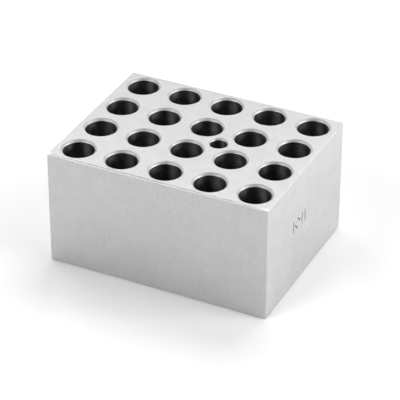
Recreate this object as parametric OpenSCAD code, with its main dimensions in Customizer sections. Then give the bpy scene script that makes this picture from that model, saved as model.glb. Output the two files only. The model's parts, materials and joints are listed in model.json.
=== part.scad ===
// Interchangeable block of a dry block heater.
// One machined piece of aluminium: a rectangular block with a grid of blind, countersunk
// wells for round-bottomed tubes, and one slimmer well between four of them for a thermometer
// or a lifting rod. Origin: centre of the bottom face. +X is the long side, +Z is up.

/* [Block] */
// Length along X
block_w = 95; // [92:0.5:110]
// Depth along Y, front to back
block_d = 73.5; // [71:0.5:90]
// Height
block_h = 50; // [48:0.5:70]
// Bevel on the edges round the top and the bottom
edge_bevel = 0.5; // [0.1:0.1:1]
// Bevel on the four upright edges
corner_bevel = 0.3; // [0.1:0.1:1]

/* [Tube wells] */
// Wells along the length
columns = 5; // [3:1:5]
// Wells from front to back
rows = 4; // [3:1:4]
// Spacing of the wells along the length
pitch_x = 19.05; // [16:0.05:19.5]
// Spacing of the wells from front to back
pitch_y = 18.55; // [16:0.05:18.6]
// Bore of a tube well
well_d = 12.8; // [6:0.1:13]
// Depth of a tube well at its full bore
well_depth = 42; // [20:1:43]
// Width of the 45 degree countersink at the mouth of a tube well
well_countersink = 0.9; // [0.2:0.1:1.2]

/* [Thermometer well] */
// Column that the thermometer well lies just after
thermo_after_column = 3; // [1:1:4]
// Row that the thermometer well lies just behind
thermo_after_row = 2; // [1:1:3]
// Bore of the thermometer well
thermo_d = 7; // [4:0.5:8]
// Depth of the thermometer well at its full bore
thermo_depth = 38; // [20:1:44]
// Width of the 45 degree countersink at the mouth of the thermometer well
thermo_countersink = 0.7; // [0.2:0.1:1]

/* [Size mark] */
// Distance of the mark from the middle of the right-hand face, along Y
mark_y = -6; // [-20:0.5:20]
// Height of the mark's middle
mark_z = 27.5; // [10:0.5:38]
// Height of the mark's strokes
mark_h = 5.5; // [4:0.5:8]
// Spacing of the mark's strokes
mark_pitch = 2.8; // [2.6:0.1:5]
// Width of each stroke
mark_stroke = 0.7; // [0.3:0.1:1]
// Depth that the mark is pressed in
mark_depth = 0.4; // [0.1:0.1:0.8]

/* [Hidden] */

// Point angle of the twist drill that leaves the bottom of each well
drill_point = 118;
// How far a cutting shape runs past the face it cuts
past = 0.5;
// Sides that stand for a full circle
round_sides = 96;

// Middle of the well in a column and row, both counted from the front left corner
function well_x(column) = (column - (columns + 1) / 2) * pitch_x;
function well_y(row) = (row - (rows + 1) / 2) * pitch_y;

// Height of the cone that a drill of this diameter leaves
function drill_cone_h(d) = d / 2 / tan(drill_point / 2);

// Rectangle about the middle with bevelled corners
module bevelled_rectangle(w, h, bevel) {
  polygon([
    [-w / 2 + bevel, -h / 2], [w / 2 - bevel, -h / 2],
    [w / 2, -h / 2 + bevel], [w / 2, h / 2 - bevel],
    [w / 2 - bevel, h / 2], [-w / 2 + bevel, h / 2],
    [-w / 2, h / 2 - bevel], [-w / 2, -h / 2 + bevel],
  ]);
}

// Box on the origin plane with flat bevels, one size round its top and bottom and one on its
// upright edges
module bevelled_box(w, d, h, bevel, upright_bevel) {
  intersection() {
    linear_extrude(h) bevelled_rectangle(w, d, upright_bevel);
    translate([0, d / 2, h / 2]) rotate([90, 0, 0])
      linear_extrude(d) bevelled_rectangle(w, h, bevel);
    translate([-w / 2, 0, h / 2]) rotate([90, 0, 90])
      linear_extrude(w) bevelled_rectangle(d, h, bevel);
  }
}

// Cutting shape of a drilled and countersunk well, turned about its own axis:
// its mouth is on the origin plane, its full bore goes to depth, and its cone lies below that
module well_cutter(d, depth, countersink) {
  r = d / 2;
  rotate_extrude($fn = round_sides)
    polygon([
      [0, past], [r + countersink + past, past],
      [r, -countersink], [r, -depth],
      [0, -depth - drill_cone_h(d)],
    ]);
}

// One upright stroke of the mark, as drawn in the plane of the face
module mark_bar() {
  square([mark_stroke, mark_h], center = true);
}

// Outline of a diamond as tall as a stroke
module mark_diamond() {
  side = mark_h / sqrt(2);
  rotate(45) difference() {
    square(side, center = true);
    square(side - 2 * mark_stroke, center = true);
  }
}

// Plain size mark: a stroke, a diamond and two more strokes
module mark_outline() {
  for (place = [-2, 1, 2]) translate([place * mark_pitch, 0]) mark_bar();
  translate([-mark_pitch / 2, 0]) mark_diamond();
}

module block() {
  color("gainsboro")
  difference() {
    bevelled_box(block_w, block_d, block_h, edge_bevel, corner_bevel);
    for (column = [1:columns], row = [1:rows])
      translate([well_x(column), well_y(row), block_h])
        well_cutter(well_d, well_depth, well_countersink);
    translate([well_x(thermo_after_column + 0.5), well_y(thermo_after_row + 0.5), block_h])
      well_cutter(thermo_d, thermo_depth, thermo_countersink);
    translate([block_w / 2 - mark_depth, mark_y, mark_z]) rotate([90, 0, 90])
      linear_extrude(mark_depth + past) mark_outline();
  }
}

block();
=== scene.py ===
"""The interchangeable block of a dry block heater: one piece of bead-blasted aluminium with a grid of
countersunk wells, on a pale floor. Lengths are in metres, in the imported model's own frame."""

import json
import math

import bmesh
import bpy
from mathutils import Matrix, Vector


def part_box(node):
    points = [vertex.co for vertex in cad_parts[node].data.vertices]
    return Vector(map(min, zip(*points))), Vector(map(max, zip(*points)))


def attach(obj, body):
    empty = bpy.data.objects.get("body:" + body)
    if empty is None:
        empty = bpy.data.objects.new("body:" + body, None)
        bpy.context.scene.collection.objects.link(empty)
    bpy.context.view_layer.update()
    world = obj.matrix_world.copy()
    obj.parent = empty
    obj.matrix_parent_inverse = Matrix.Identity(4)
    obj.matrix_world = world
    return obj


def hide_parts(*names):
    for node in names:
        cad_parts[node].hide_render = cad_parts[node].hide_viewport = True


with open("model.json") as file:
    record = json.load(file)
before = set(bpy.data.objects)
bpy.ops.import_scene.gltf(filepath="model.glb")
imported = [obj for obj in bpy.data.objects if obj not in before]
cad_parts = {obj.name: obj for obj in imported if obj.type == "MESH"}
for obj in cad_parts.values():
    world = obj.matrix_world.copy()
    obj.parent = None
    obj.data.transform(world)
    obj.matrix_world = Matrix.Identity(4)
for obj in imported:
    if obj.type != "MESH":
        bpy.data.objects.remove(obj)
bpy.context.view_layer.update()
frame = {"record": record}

MM = 0.001

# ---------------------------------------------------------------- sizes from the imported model
MOUNTS = {m["name"]: m for m in frame["record"]["mounts"]}
BLOCK_LOW, BLOCK_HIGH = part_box("block")
TOP = BLOCK_HIGH.z
BOTTOM = BLOCK_LOW.z


class Well:
    """A blind well, from the mount that states its bore."""

    def __init__(self, mount):
        self.x, self.y, bore_top = mount["pos_m"]
        self.radius = mount["dims"]["r_mm"] * MM
        self.countersink = TOP - bore_top
        self.rim = self.radius + self.countersink
        self.full_bore_bottom = bore_top - mount["dims"]["length_mm"] * MM


TUBE_WELLS = [Well(m) for name, m in MOUNTS.items() if name.startswith("tube_well")]
THERMO_WELL = Well(MOUNTS["thermometer_well"])
COLUMN_X = sorted({w.x for w in TUBE_WELLS})
ROW_Y = sorted({w.y for w in TUBE_WELLS})

# ---------------------------------------------------------------- sizes of the finer shapes
# The CAD model's bevel round the top and the bottom, rounded over by blasting: a shallow arc that
# turns a little way off the flat, and then a tight one to the side
SHALLOW_RADIUS = 1.6 * MM
SHALLOW_TURN = math.radians(22)
EDGE_RADIUS = 0.5 * MM
CORNER_RADIUS = 0.25 * MM    # rounding of the upright edges
WELL_SOFTNESS = 0.15 * MM    # rounding of the edges of a countersink
WELL_EDGE_TURN = math.radians(25)   # those edges turn by more than this
DRILL_POINT = math.radians(118)
DRILL_FLAT = 0.04            # flat at the tip of a drilled bottom, as a share of the bore

# Size mark pressed into the right-hand face: a stroke, a diamond and two strokes
MARK_Y, MARK_Z = -6.0 * MM, 27.5 * MM
MARK_H = 5.5 * MM
MARK_PITCH = 2.8 * MM
MARK_BARS = (-2, 1, 2)       # places of the three plain strokes, in pitches from the middle
MARK_DIAMOND = -0.5          # place of the diamond
MARK_STROKE = 0.7 * MM
MARK_DEPTH = 0.4 * MM
MARK_LIP = 0.02 * MM         # metal raised beside a stroke
MARK_MARGIN = 1.2 * MM       # plain metal kept round the mark in its fine patch
WALL_START, WALL_END = 0.35, 1.05    # a stroke's wall, in halves of its width from its middle
LIP_MIDDLE, LIP_WIDTH = 1.35, 0.35   # the lip beside it, in the same measure
PAINTED_SHADE_GROOVE_DEPTH = MARK_DEPTH / 20      # the groove's base colour is painted shade where it is pressed deeper than this

# Numbers of quads
SIDE_STEPS = 16              # along each side of a well's cell, so round a well 4 times as many
CUT_STEPS = 6                # of those, how many the thermometer well takes from a corner it cuts
SHALLOW_STEPS, EDGE_STEPS = 2, 5     # across the two arcs of a rounded edge
CORNER_STEPS = 3             # across a rounded upright edge
BORE_STEPS = 12              # down a bore
CONE_STEPS = 4               # across a drilled bottom
COUNTERSINK_STEPS = 2        # down a countersink
SOFT_STEPS = 3               # across the softened edge of a countersink
ROWS_BELOW_MARK, ROWS_ABOVE_MARK = 4, 3   # on the sides, with one row more for the mark itself
MARK_FINE = 9                # in the mark's patch for each one elsewhere, along Y

CELL_START = math.radians(225)   # where the points round a well begin: its cell's front left corner
WELD = 1e-6                  # points nearer than this become one
SAME_PLACE = 1e-9            # rounding allowed for when places along a line are compared
FLAT_FACE_WEIGHT = 80        # how far large flat faces win over small ones in the smooth shading

# The block's material slots, and its UV map: u goes once round a well and v runs down it in metres
BLASTED, EDGE, TURNED, BORED, PAINTED_SHADE_GROOVE = 0, 1, 2, 3, 4
WELL_UV = "turned"


# ---------------------------------------------------------------- mesh helpers
def spaced(low, high, steps):
    """steps + 1 numbers from low to high."""
    return [low + (high - low) * i / steps for i in range(steps + 1)]


def circle(x, y, z, radius, count, start):
    return [Vector((x + radius * math.cos(a), y + radius * math.sin(a), z))
            for a in (start + 2 * math.pi * i / count for i in range(count))]


class Shell:
    """A bmesh under construction. Rings of points are joined by bands of quads, and faces that
    meet are welded at the end."""

    def __init__(self):
        self.bm = bmesh.new()
        self.uv = self.bm.loops.layers.uv.new(WELL_UV)

    def face(self, points, slot, uvs=None):
        made = self.bm.faces.new([self.bm.verts.new(p) for p in points])
        made.material_index = slot
        made.smooth = True
        for loop, uv in zip(made.loops, uvs or ()):
            loop[self.uv].uv = uv

    def band(self, upper, lower, slot, v_upper=0.0, v_lower=0.0, leave_out=None):
        """Quads between two closed rings of as many points, without those whose four points
        leave_out is true for."""
        count = len(upper)
        for i in range(count):
            j = (i + 1) % count
            points = [upper[i], lower[i], lower[j], upper[j]]
            if leave_out and leave_out(points):
                continue
            u_i, u_j = i / count, (i + 1) / count
            self.face(points, slot, [(u_i, v_upper), (u_i, v_lower), (u_j, v_lower), (u_j, v_upper)])


# ---------------------------------------------------------------- the outline and the cells
def rounded_edge():
    """The (inset, drop) of each ring of a rounded edge, from the flat top to the flat side."""
    shallow_end = EDGE_RADIUS * (1 - math.sin(SHALLOW_TURN))
    shallow_drop = SHALLOW_RADIUS * (1 - math.cos(SHALLOW_TURN))
    rings = []
    for a in spaced(0, SHALLOW_TURN, SHALLOW_STEPS)[:-1]:
        inset = shallow_end + SHALLOW_RADIUS * (math.sin(SHALLOW_TURN) - math.sin(a))
        rings.append((inset, SHALLOW_RADIUS * (1 - math.cos(a))))
    for a in spaced(SHALLOW_TURN, math.pi / 2, EDGE_STEPS):
        drop = shallow_drop + EDGE_RADIUS * (math.cos(SHALLOW_TURN) - math.cos(a))
        rings.append((EDGE_RADIUS * (1 - math.sin(a)), drop))
    return rings


def grid_lines(centres, low, high):
    """Cell edges along one axis: midway between the wells, and at the ends of the flat top."""
    middles = [(a + b) / 2 for a, b in zip(centres, centres[1:])]
    return [low] + middles + [high]


def fine_lines(lines):
    """The cell edges with each cell cut into SIDE_STEPS."""
    fine = [lines[0]]
    for a, b in zip(lines, lines[1:]):
        fine += spaced(a, b, SIDE_STEPS)[1:]
    return fine


EDGE_RINGS = rounded_edge()
EDGE_INSET, EDGE_DROP = EDGE_RINGS[0][0], EDGE_RINGS[-1][1]
LINES_X = grid_lines(COLUMN_X, BLOCK_LOW.x + EDGE_INSET, BLOCK_HIGH.x - EDGE_INSET)
LINES_Y = grid_lines(ROW_Y, BLOCK_LOW.y + EDGE_INSET, BLOCK_HIGH.y - EDGE_INSET)
FINE_X, FINE_Y = fine_lines(LINES_X), fine_lines(LINES_Y)


def cell_outline(x0, x1, y0, y1):
    """The edge of a well's cell, anticlockwise from its front left corner, in 4 * SIDE_STEPS
    steps. A corner at the thermometer well is cut by that well's rim."""
    corners = [Vector(p) for p in ((x0, y0), (x1, y0), (x1, y1), (x0, y1))]
    hole = Vector((THERMO_WELL.x, THERMO_WELL.y))
    rim = THERMO_WELL.rim
    is_cut = [(c - hole).length < rim for c in corners]
    outline = []
    for k in range(4):
        here, there = corners[k], corners[(k + 1) % 4]
        along = (there - here).normalized()
        inward = Vector((-along.y, along.x))
        start, end, steps = here, there, SIDE_STEPS
        if is_cut[k]:
            for i in range(CUT_STEPS):
                a = math.pi / 4 * (1 - i / CUT_STEPS)
                outline.append(here + (along * math.cos(a) + inward * math.sin(a)) * rim)
            start, steps = here + along * rim, steps - CUT_STEPS
        if is_cut[(k + 1) % 4]:
            end, steps = there - along * rim, steps - CUT_STEPS
        outline += [start.lerp(end, i / steps) for i in range(steps)]
        if is_cut[(k + 1) % 4]:
            for i in range(CUT_STEPS):
                a = math.pi / 4 * i / CUT_STEPS
                outline.append(there + (-along * math.cos(a) + inward * math.sin(a)) * rim)
    return [Vector((p.x, p.y, TOP)) for p in outline]


def side_line(fine, low, high):
    """Points along one flat side of an outline, in line with the cells of the top."""
    return [low] + fine[1:-1] + [high]


def outline_ring(inset, z):
    """The block's outline at a height, moved in by inset, anticlockwise from its front left corner."""
    corner = max(CORNER_RADIUS - inset, 0.0)
    x0, x1 = BLOCK_LOW.x + inset, BLOCK_HIGH.x - inset
    y0, y1 = BLOCK_LOW.y + inset, BLOCK_HIGH.y - inset
    along_x = side_line(FINE_X, x0 + corner, x1 - corner)
    along_y = side_line(FINE_Y, y0 + corner, y1 - corner)
    sides = [
        ([(x, y0) for x in along_x], (x1 - corner, y0 + corner)),
        ([(x1, y) for y in along_y], (x1 - corner, y1 - corner)),
        ([(x, y1) for x in reversed(along_x)], (x0 + corner, y1 - corner)),
        ([(x0, y) for y in reversed(along_y)], (x0 + corner, y0 + corner)),
    ]
    outline = []
    for k, (side, (cx, cy)) in enumerate(sides):
        outline += side
        for a in spaced(math.pi / 2 * (k - 1), math.pi / 2 * k, CORNER_STEPS)[1:-1]:
            outline.append((cx + corner * math.cos(a), cy + corner * math.sin(a)))
    return [Vector((x, y, z)) for x, y in outline]


# ---------------------------------------------------------------- the top and its wells
def add_well(shell, well, count, start):
    """Countersink, bore and drilled bottom, down from the well's rim in the top face."""
    def ring(radius, z):
        return circle(well.x, well.y, z, radius, count, start)

    bore_top = TOP - well.countersink
    tip = well.full_bore_bottom - well.radius / math.tan(DRILL_POINT / 2)
    levels = [(well.rim - depth, TOP - depth, TURNED)
              for depth in spaced(0.0, well.countersink, COUNTERSINK_STEPS)]
    levels += [(well.radius, z, BORED) for z in spaced(bore_top, well.full_bore_bottom, BORE_STEPS)[1:]]
    levels += [(well.radius * share, tip + (well.full_bore_bottom - tip) * share, BORED)
               for share in spaced(1, DRILL_FLAT, CONE_STEPS)[1:]]
    v = 0.0
    for (r0, z0, _), (r1, z1, slot) in zip(levels, levels[1:]):
        v_next = v + math.hypot(r1 - r0, z1 - z0)
        shell.band(ring(r0, z0), ring(r1, z1), slot, v, v_next)
        v = v_next
    tip_radius, tip_z, _ = levels[-1]
    shell.face(ring(tip_radius, tip_z), BORED)


def add_top(shell):
    """The flat top as one cell of quads round each tube well, with every well below it."""
    count = 4 * SIDE_STEPS
    for well in TUBE_WELLS:
        i, j = COLUMN_X.index(well.x), ROW_Y.index(well.y)
        outline = cell_outline(LINES_X[i], LINES_X[i + 1], LINES_Y[j], LINES_Y[j + 1])
        rim = circle(well.x, well.y, TOP, well.rim, count, CELL_START)
        middle = [o.lerp(r, 0.5) for o, r in zip(outline, rim)]
        shell.band(outline, middle, BLASTED)
        shell.band(middle, rim, BLASTED)
        add_well(shell, well, count, CELL_START)
    # Four cells meet the thermometer well, each along 2 * CUT_STEPS quads
    add_well(shell, THERMO_WELL, 8 * CUT_STEPS, 0.0)


# ---------------------------------------------------------------- the mark
def mark_strokes():
    """The mark's centrelines in the plane of the face, as pairs of (y, z) points."""
    reach = (MARK_H - MARK_STROKE) / 2
    strokes = []
    for place in MARK_BARS:
        y = MARK_Y + place * MARK_PITCH
        strokes.append((Vector((y, MARK_Z - reach)), Vector((y, MARK_Z + reach))))
    middle = Vector((MARK_Y + MARK_DIAMOND * MARK_PITCH, MARK_Z))
    tips = [middle + Vector(p) * reach for p in ((1, 0), (0, 1), (-1, 0), (0, -1))]
    strokes += [(tips[k], tips[(k + 1) % 4]) for k in range(4)]
    return strokes


def distance_to_stroke(point, stroke):
    a, b = stroke
    along = b - a
    share = max(0.0, min(1.0, (point - a).dot(along) / along.length_squared))
    return (point - a - along * share).length


def smooth_step(low, high, x):
    t = max(0.0, min(1.0, (x - low) / (high - low)))
    return t * t * (3 - 2 * t)


def mark_relief(point, strokes):
    """How far the face stands out at a point of the mark: a pressed groove with a low lip."""
    d = min(distance_to_stroke(point, s) for s in strokes)
    half = MARK_STROKE / 2
    groove = -MARK_DEPTH * (1 - smooth_step(WALL_START * half, WALL_END * half, d))
    lip = MARK_LIP * math.exp(-((d - LIP_MIDDLE * half) / (LIP_WIDTH * half)) ** 2)
    return groove + lip


def add_marked_face(shell, heights):
    """The right-hand face: a grid of quads, with a fine patch of relief where the mark is. The
    faces round the patch take its fine points into their own outlines."""
    x = BLOCK_HIGH.x
    along = side_line(FINE_Y, BLOCK_LOW.y + CORNER_RADIUS, BLOCK_HIGH.y - CORNER_RADIUS)
    reach_y = max(MARK_BARS) * MARK_PITCH + MARK_STROKE / 2 + MARK_MARGIN
    first = max(i for i, y in enumerate(along) if y <= MARK_Y - reach_y)
    last = min(i for i, y in enumerate(along) if y >= MARK_Y + reach_y)
    patch_row = next(k for k in range(len(heights) - 1) if heights[k] < MARK_Z < heights[k + 1])
    z0, z1 = heights[patch_row], heights[patch_row + 1]
    fine_y = [along[first]]
    for a, b in zip(along[first:last], along[first + 1:last + 1]):
        fine_y += spaced(a, b, MARK_FINE)[1:]
    fine_z = spaced(z0, z1, round((z1 - z0) / (fine_y[1] - fine_y[0])))
    strokes = mark_strokes()

    def flat(y, z):
        return Vector((x, y, z))

    def raised(y, z):
        return Vector((x + mark_relief(Vector((y, z)), strokes), y, z))

    def fine_between(a, b):
        return [y for y in fine_y if a - SAME_PLACE <= y <= b + SAME_PLACE]

    for k, (low, high) in enumerate(zip(heights, heights[1:])):
        for i, (ya, yb) in enumerate(zip(along, along[1:])):
            is_in_columns = first <= i < last
            if k == patch_row and is_in_columns:
                continue
            lower, upper = [ya, yb], [ya, yb]
            left, right = [low, high], [low, high]
            if is_in_columns and k == patch_row - 1:
                upper = fine_between(ya, yb)
            if is_in_columns and k == patch_row + 1:
                lower = fine_between(ya, yb)
            if k == patch_row and i == first - 1:
                right = fine_z
            if k == patch_row and i == last:
                left = fine_z
            outline = [flat(y, low) for y in lower]
            outline += [flat(yb, z) for z in right[1:]]
            outline += [flat(y, high) for y in reversed(upper[:-1])]
            outline += [flat(ya, z) for z in reversed(left[1:-1])]
            shell.face(outline, BLASTED)
    relief = [[raised(y, z) for y in fine_y] for z in fine_z]
    for k in range(len(fine_z) - 1):
        for i in range(len(fine_y) - 1):
            quad = [relief[k][i], relief[k][i + 1], relief[k + 1][i + 1], relief[k + 1][i]]
            # Quads pressed deep into a groove take the groove material, whose dark base colour is
            # painted shade
            depth = x - sum(p.x for p in quad) / 4
            shell.face(quad, PAINTED_SHADE_GROOVE if depth > PAINTED_SHADE_GROOVE_DEPTH else BLASTED)


# ---------------------------------------------------------------- the sides and the bottom
def is_marked_face(points):
    return all(p.x == BLOCK_HIGH.x for p in points)


def is_front_edge(points):
    return all(p.y < BLOCK_LOW.y + EDGE_INSET + WELD for p in points)


def is_off_front_edge(points):
    return not is_front_edge(points)


def add_sides(shell):
    """The four sides, with rounded edges between them and the top and bottom."""
    mark_reach = MARK_H / 2 + MARK_MARGIN
    heights = spaced(BOTTOM + EDGE_DROP, MARK_Z - mark_reach, ROWS_BELOW_MARK)
    heights += spaced(MARK_Z + mark_reach, TOP - EDGE_DROP, ROWS_ABOVE_MARK)
    profile = [(inset, TOP - drop) for inset, drop in EDGE_RINGS]
    profile += [(0.0, z) for z in reversed(heights[1:-1])]
    profile += [(inset, BOTTOM + drop) for inset, drop in reversed(EDGE_RINGS)]
    rings = [outline_ring(inset, z) for inset, z in profile]
    for k, (upper, lower) in enumerate(zip(rings, rings[1:])):
        if k < SHALLOW_STEPS:
            shell.band(upper, lower, EDGE, leave_out=is_off_front_edge)
            shell.band(upper, lower, BLASTED, leave_out=is_front_edge)
        else:
            shell.band(upper, lower, BLASTED, leave_out=is_marked_face)
    add_marked_face(shell, heights)


def add_bottom(shell):
    for ya, yb in zip(FINE_Y, FINE_Y[1:]):
        for xa, xb in zip(FINE_X, FINE_X[1:]):
            shell.face([(xa, ya, BOTTOM), (xa, yb, BOTTOM), (xb, yb, BOTTOM), (xb, ya, BOTTOM)], BLASTED)


# ---------------------------------------------------------------- the whole block
def is_well_edge(edge):
    """True on a sharp edge of a countersink."""
    faces = edge.link_faces
    return (len(faces) == 2 and edge.calc_face_angle(0) > WELL_EDGE_TURN
            and any(f.material_index in (TURNED, BORED) for f in faces))


def soften_wells(bm):
    """Rounds the edges of the countersinks over, as deburring and blasting do."""
    bmesh.ops.bevel(bm, geom=[e for e in bm.edges if is_well_edge(e)], offset=WELL_SOFTNESS,
                    offset_type="OFFSET", segments=SOFT_STEPS, profile=0.5, affect="EDGES",
                    clamp_overlap=True)


def make_block():
    """The block as one closed mesh, whose flat faces keep an even shade up to their rounded edges."""
    shell = Shell()
    add_top(shell)
    add_sides(shell)
    add_bottom(shell)
    bm = shell.bm
    bmesh.ops.remove_doubles(bm, verts=bm.verts, dist=WELD)
    bmesh.ops.recalc_face_normals(bm, faces=bm.faces)
    soften_wells(bm)
    bmesh.ops.dissolve_degenerate(bm, dist=WELD, edges=bm.edges)
    mesh = bpy.data.meshes.new("block_body")
    bm.to_mesh(mesh)
    bm.free()
    block = bpy.data.objects.new("block_body", mesh)
    bpy.context.scene.collection.objects.link(block)
    crisp = block.modifiers.new("crisp_faces", "WEIGHTED_NORMAL")
    crisp.mode = "FACE_AREA"
    crisp.weight = FLAT_FACE_WEIGHT
    return block


# ---------------------------------------------------------------- materials
NOISE_LOW, NOISE_HIGH = 0.3, 0.7   # the part of a noise's range that is spread over the range asked for

BLASTED_TONE, BLASTED_ROUGHNESS = 0.57, 0.47
TURNED_TONE = 0.50
# Painted shade: the bores' base colour is far darker than aluminium, standing for the shade deep in the
# wells
BORED_PAINTED_SHADE_TONE = 0.09
BORED_ANISOTROPY = 0.7
QUARTER_TURN = 0.25
PAINTED_SHADE_GROOVE_ROUGHNESS = 0.6
FLOOR_ROUGHNESS, FLOOR_SPECULAR = 0.9, 0.1


class Nodes:
    """Short calls for building one material's node tree."""

    def __init__(self, name):
        self.material = bpy.data.materials.new(name)
        self.material.use_nodes = True
        self.tree = self.material.node_tree
        self.shader = self.tree.nodes["Principled BSDF"]

    def link(self, source, target):
        self.tree.links.new(source, target)

    def put(self, socket, value):
        """Sets an input from a number or from another node's output."""
        if isinstance(value, bpy.types.NodeSocket):
            self.link(value, socket)
        else:
            socket.default_value = value

    def scaled(self, vector, scales):
        node = self.tree.nodes.new("ShaderNodeVectorMath")
        node.operation = "MULTIPLY"
        self.link(vector, node.inputs[0])
        node.inputs[1].default_value = scales
        return node.outputs[0]

    def coordinates(self, per_mm, per_mm_z=None):
        """The object's own coordinates, with so many units to a millimetre, which may differ along Z."""
        place = self.tree.nodes.new("ShaderNodeTexCoord").outputs["Object"]
        along_z = per_mm if per_mm_z is None else per_mm_z
        return self.scaled(place, [s / MM for s in (per_mm, per_mm, along_z)])

    def well_coordinates(self, per_turn, per_mm):
        """Coordinates round a well and down it."""
        uv = self.tree.nodes.new("ShaderNodeUVMap")
        uv.uv_map = WELL_UV
        return self.scaled(uv.outputs["UV"], (per_turn, per_mm / MM, 1.0))

    def noise(self, vector, detail, roughness=0.5):
        node = self.tree.nodes.new("ShaderNodeTexNoise")
        self.link(vector, node.inputs["Vector"])
        node.inputs["Scale"].default_value = 1.0
        node.inputs["Detail"].default_value = detail
        node.inputs["Roughness"].default_value = roughness
        return node.outputs["Fac"]

    def add(self, *parts):
        total = parts[0]
        for part in parts[1:]:
            node = self.tree.nodes.new("ShaderNodeMath")
            node.operation = "ADD"
            self.put(node.inputs[0], total)
            self.put(node.inputs[1], part)
            total = node.outputs[0]
        return total

    def spread(self, noise, low, high):
        """Maps a noise to low..high, smoothly and no further."""
        node = self.tree.nodes.new("ShaderNodeMapRange")
        node.interpolation_type = "SMOOTHSTEP"
        self.link(noise, node.inputs["Value"])
        node.inputs["From Min"].default_value = NOISE_LOW
        node.inputs["From Max"].default_value = NOISE_HIGH
        node.inputs["To Min"].default_value = low
        node.inputs["To Max"].default_value = high
        return node.outputs["Result"]

    def sway(self, noise, reach):
        """Maps a noise to as much below nought as above it."""
        return self.spread(noise, -reach, reach)

    def grey(self, value):
        node = self.tree.nodes.new("ShaderNodeCombineColor")
        for channel in ("Red", "Green", "Blue"):
            self.link(value, node.inputs[channel])
        return node.outputs["Color"]

    def bump(self, height, distance, over=None):
        """A relief of a distance in metres, laid over another relief if there is one."""
        node = self.tree.nodes.new("ShaderNodeBump")
        self.link(height, node.inputs["Height"])
        node.inputs["Distance"].default_value = distance
        if over is not None:
            self.link(over, node.inputs["Normal"])
        return node.outputs["Normal"]

    def metal(self, tone, roughness, relief=None):
        """Makes the shader a grey metal and returns the finished material."""
        self.link(self.grey(tone), self.shader.inputs["Base Color"])
        self.shader.inputs["Metallic"].default_value = 1.0
        self.put(self.shader.inputs["Roughness"], roughness)
        if relief is not None:
            self.link(relief, self.shader.inputs["Normal"])
        return self.material


def blasted_aluminium():
    """Bead-blasted aluminium: an even matt grain, a fine mottle, faint cloudy patches, and faint
    upright streaks from the sawing and milling that show through on the sides."""
    nodes = Nodes("blasted_aluminium")
    clouds = nodes.noise(nodes.coordinates(0.16), detail=3)
    blotches = nodes.noise(nodes.coordinates(0.7), detail=2)
    mottle = nodes.noise(nodes.coordinates(1.3), detail=1)
    grain = nodes.noise(nodes.coordinates(3.2), detail=2, roughness=0.6)
    streaks = nodes.noise(nodes.coordinates(0.9, per_mm_z=0.03), detail=2)
    tone = nodes.add(nodes.sway(clouds, 0.012), nodes.sway(blotches, 0.008),
                     nodes.sway(mottle, 0.022), nodes.sway(streaks, 0.004), BLASTED_TONE)
    roughness = nodes.add(nodes.sway(blotches, 0.03), BLASTED_ROUGHNESS, nodes.sway(streaks, 0.01))
    relief = nodes.bump(blotches, 0.02 * MM)
    relief = nodes.bump(streaks, 0.01 * MM, over=relief)
    relief = nodes.bump(grain, 0.012 * MM, over=relief)
    return nodes.metal(tone, roughness, relief)


def edge_aluminium():
    """The shallow arc of the front top edge: the same metal, burnished smoother by handling."""
    nodes = Nodes("edge_aluminium")
    nicks = nodes.noise(nodes.coordinates(0.8), detail=3)
    tone = nodes.spread(nicks, 0.64, 0.68)
    roughness = nodes.spread(nicks, 0.285, 0.295)
    return nodes.metal(tone, roughness, nodes.bump(nicks, 0.004 * MM))


def turned_aluminium():
    """A countersink's cone: blasted over fine rings left by the cutter."""
    nodes = Nodes("turned_aluminium")
    rings = nodes.noise(nodes.well_coordinates(per_turn=3.0, per_mm=7.0), detail=2)
    patches = nodes.noise(nodes.coordinates(0.5), detail=2)
    tone = nodes.add(nodes.sway(rings, 0.04), nodes.sway(patches, 0.02), TURNED_TONE)
    roughness = nodes.spread(rings, 0.62, 0.68)
    return nodes.metal(tone, roughness, nodes.bump(rings, 0.01 * MM))


def bored_aluminium():
    """A drilled and reamed bore: metal with painted shade, its base colour far darker than aluminium
    to stand for the shade deep in the well. Fine grooves run round the wall and so stretch its
    highlights down it."""
    nodes = Nodes("bored_aluminium")
    rings = nodes.noise(nodes.well_coordinates(per_turn=4.0, per_mm=3.0), detail=3)
    patches = nodes.noise(nodes.coordinates(0.35, per_mm_z=0.2), detail=2)
    tone = nodes.add(nodes.sway(rings, 0.02), nodes.sway(patches, 0.02), BORED_PAINTED_SHADE_TONE)
    roughness = nodes.spread(patches, 0.50, 0.60)
    nodes.shader.inputs["Anisotropic"].default_value = BORED_ANISOTROPY
    nodes.shader.inputs["Anisotropic Rotation"].default_value = QUARTER_TURN
    around = nodes.tree.nodes.new("ShaderNodeTangent")
    around.direction_type = "UV_MAP"
    around.uv_map = WELL_UV
    nodes.link(around.outputs["Tangent"], nodes.shader.inputs["Tangent"])
    return nodes.metal(tone, roughness, nodes.bump(rings, 0.012 * MM))


def pressed_aluminium():
    """The grooves of the mark: the same metal with painted shade, a dark base colour that stands
    for the shade in the grooves and damps the highlights on their walls.
    """
    nodes = Nodes("pressed_aluminium")
    patches = nodes.noise(nodes.coordinates(1.5), detail=2)
    return nodes.metal(nodes.spread(patches, 0.27, 0.33), PAINTED_SHADE_GROOVE_ROUGHNESS)


def pale_floor():
    nodes = Nodes("pale_floor")
    patches = nodes.noise(nodes.coordinates(0.01), detail=2)
    nodes.link(nodes.grey(nodes.spread(patches, 0.86, 0.88)), nodes.shader.inputs["Base Color"])
    nodes.shader.inputs["Roughness"].default_value = FLOOR_ROUGHNESS
    nodes.shader.inputs["Specular IOR Level"].default_value = FLOOR_SPECULAR
    return nodes.material


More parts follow.
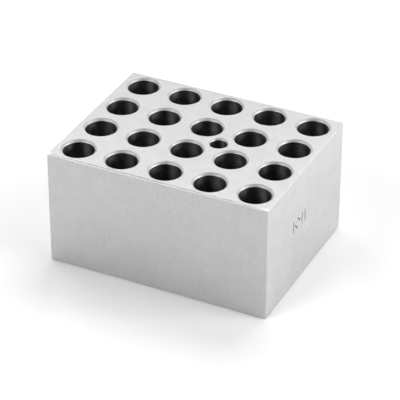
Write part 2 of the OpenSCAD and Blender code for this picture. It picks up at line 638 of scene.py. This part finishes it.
# ---------------------------------------------------------------- camera, floor and light
CAMERA_AZIMUTH = math.radians(25.79)
CAMERA_ELEVATION = math.radians(32.43)
CAMERA_ROLL = math.radians(0.12)
CAMERA_DISTANCE = 0.836
CAMERA_LENS_MM = 188.0
CAMERA_SENSOR_MM = 36
CAMERA_NEAR, CAMERA_FAR = 0.05, 20
CAMERA_TARGET = Vector((3.98 * MM, -5.37 * MM, 24.88 * MM))

FLOOR_HALF = 1.5             # half the floor's width
FLOOR_GAP = 0.1 * MM         # how far the floor lies under the block

PANEL_DISTANCE = 1.3
PANEL_SIZE = (0.7, 0.5)
PANELS = [
    # name, azimuth and elevation in degrees, power in watts
    ("panel_right_low", 100, 17, 14.8),
    ("panel_back_right_low", 135, 12, 3.5),
    ("panel_back_low", 180, 12, 3.6),
    ("panel_left_low", 270, 12, 3.7),
    ("panel_back_left", 210, 35, 1.4),
    ("panel_left", 240, 35, 4.9),
    ("panel_front_left", 330, 35, 9.9),
    ("panel_right_high", 90, 60, 3.0),
    ("panel_back_high", 180, 60, 5.6),
]


def direction(azimuth, elevation):
    """The unit vector from the block towards a viewer or a light. Azimuth 0 is in front, at -Y, and
    a quarter turn is at +X."""
    flat = math.cos(elevation)
    return Vector((math.sin(azimuth) * flat, -math.cos(azimuth) * flat, math.sin(elevation)))


def add_camera():
    back = direction(CAMERA_AZIMUTH, CAMERA_ELEVATION)
    camera = bpy.data.objects.new("camera", bpy.data.cameras.new("camera"))
    bpy.context.scene.collection.objects.link(camera)
    camera.data.lens = CAMERA_LENS_MM
    camera.data.sensor_width = CAMERA_SENSOR_MM
    camera.data.clip_start, camera.data.clip_end = CAMERA_NEAR, CAMERA_FAR
    camera.location = CAMERA_TARGET + back * CAMERA_DISTANCE
    aim = back.to_track_quat("Z", "Y").to_matrix()
    camera.rotation_euler = (aim @ Matrix.Rotation(CAMERA_ROLL, 3, "Z")).to_euler()
    bpy.context.scene.camera = camera


def add_floor():
    z = BOTTOM - FLOOR_GAP
    corners = [(sx * FLOOR_HALF, sy * FLOOR_HALF, z) for sx, sy in ((-1, -1), (1, -1), (1, 1), (-1, 1))]
    mesh = bpy.data.meshes.new("floor")
    mesh.from_pydata(corners, [], [(0, 1, 2, 3)])
    floor = bpy.data.objects.new("floor", mesh)
    floor.data.materials.append(pale_floor())
    bpy.context.scene.collection.objects.link(floor)


def add_panel(name, azimuth, elevation, watts):
    """A soft rectangular light that faces the block."""
    light = bpy.data.lights.new(name, "AREA")
    light.shape = "RECTANGLE"
    light.size, light.size_y = PANEL_SIZE
    light.energy = watts
    panel = bpy.data.objects.new(name, light)
    towards = direction(math.radians(azimuth), math.radians(elevation))
    panel.location = towards * PANEL_DISTANCE
    panel.rotation_euler = towards.to_track_quat("Z", "Y").to_euler()
    bpy.context.scene.collection.objects.link(panel)


def add_lights():
    """The panels, in a world that gives no light of its own."""
    world = bpy.data.worlds.new("studio")
    bpy.context.scene.world = world
    world.use_nodes = True
    world.node_tree.nodes["Background"].inputs["Color"].default_value = (1, 1, 1, 1)
    world.node_tree.nodes["Background"].inputs["Strength"].default_value = 0.0
    for name, azimuth, elevation, watts in PANELS:
        add_panel(name, azimuth, elevation, watts)


# ---------------------------------------------------------------- the scene
bpy.context.scene.view_settings.view_transform = "Standard"
add_camera()
add_floor()
add_lights()

block = make_block()
# In the order of the slots
for material in (blasted_aluminium(), edge_aluminium(), turned_aluminium(), bored_aluminium(),
                 pressed_aluminium()):
    block.data.materials.append(material)
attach(block, "root")
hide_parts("block")
